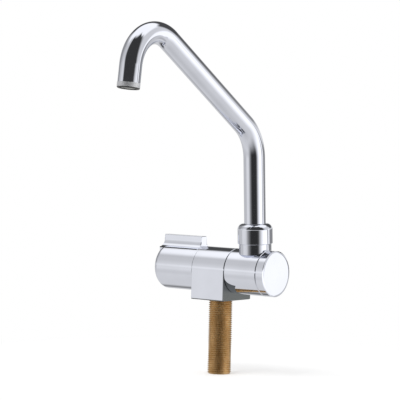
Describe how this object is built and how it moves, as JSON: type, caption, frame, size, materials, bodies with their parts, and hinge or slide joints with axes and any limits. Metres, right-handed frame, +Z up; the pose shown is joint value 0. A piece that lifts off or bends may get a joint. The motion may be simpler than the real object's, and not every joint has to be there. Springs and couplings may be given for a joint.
{
  "type": "folding cold water tap",
  "caption": "Folding cold water tap: a quarter-turn lever handle, a block on a threaded shank, and a drum that tilts a swivelling tube spout.",
  "frame": {"origin": "centre of the block's bottom face, on the worktop, where the threaded shank leaves the block", "axes": "+X runs along the body from the handle to the end cap, -Y is the front, where the spout points, and +Z is up from the worktop"},
  "size_m": [0.1233, 0.2066, 0.3046],
  "materials": {
    "chrome": "polished chrome plate over brass",
    "brass": "bare machined brass",
    "rubber": "black sealing rubber",
    "ceramic": "lapped white alumina ceramic",
    "plastic": "moulded acetal",
    "steel": "stainless steel"
  },
  "bodies": {
    "base": {"body_block": "chrome", "threaded_shank": "brass", "base_seal": "rubber", "cartridge_housing": "brass", "housing_ring": "rubber", "seat_seal": "rubber", "fixed_disc": "ceramic", "trunnion": "brass", "trunnion_rings": "rubber", "thrust_washer": "plastic", "fold_stop_pin": "steel", "friction_washer": "steel", "retaining_washer": "steel", "trunnion_circlip": "steel"},
    "lever": {"handle": "chrome", "handle_adapter": "plastic", "handle_screw": "steel", "cartridge_spindle": "brass", "moving_disc": "ceramic", "spindle_ring": "rubber", "stop_washer": "steel", "spindle_circlip": "steel"},
    "drum": {"spout_drum": "chrome", "outlet_neck": "chrome", "end_cap": "chrome", "cap_ring": "rubber", "swivel_nut": "chrome", "glide_ring": "plastic"},
    "spout": {"spout_foot": "brass", "spout_rings": "rubber", "spout_tube": "chrome", "nozzle_ring": "chrome", "flow_straightener": "plastic"}
  },
  "joints": [
    {"name": "handle_turn", "type": "hinge", "parent": "base", "child": "lever", "pos_m": [0, 0, 0.026], "axis": [1, 0, 0], "range_deg": [0, 90]},
    {"name": "spout_fold", "type": "hinge", "parent": "base", "child": "drum", "pos_m": [0, 0, 0.026], "axis": [1, 0, 0], "range_deg": [-3.3, 86.7]},
    {"name": "spout_swivel", "type": "hinge", "parent": "drum", "child": "spout", "pos_m": [0.0377, 0, 0.026], "axis": [0, -0.0576, 0.9983], "continuous": true}
  ]
}
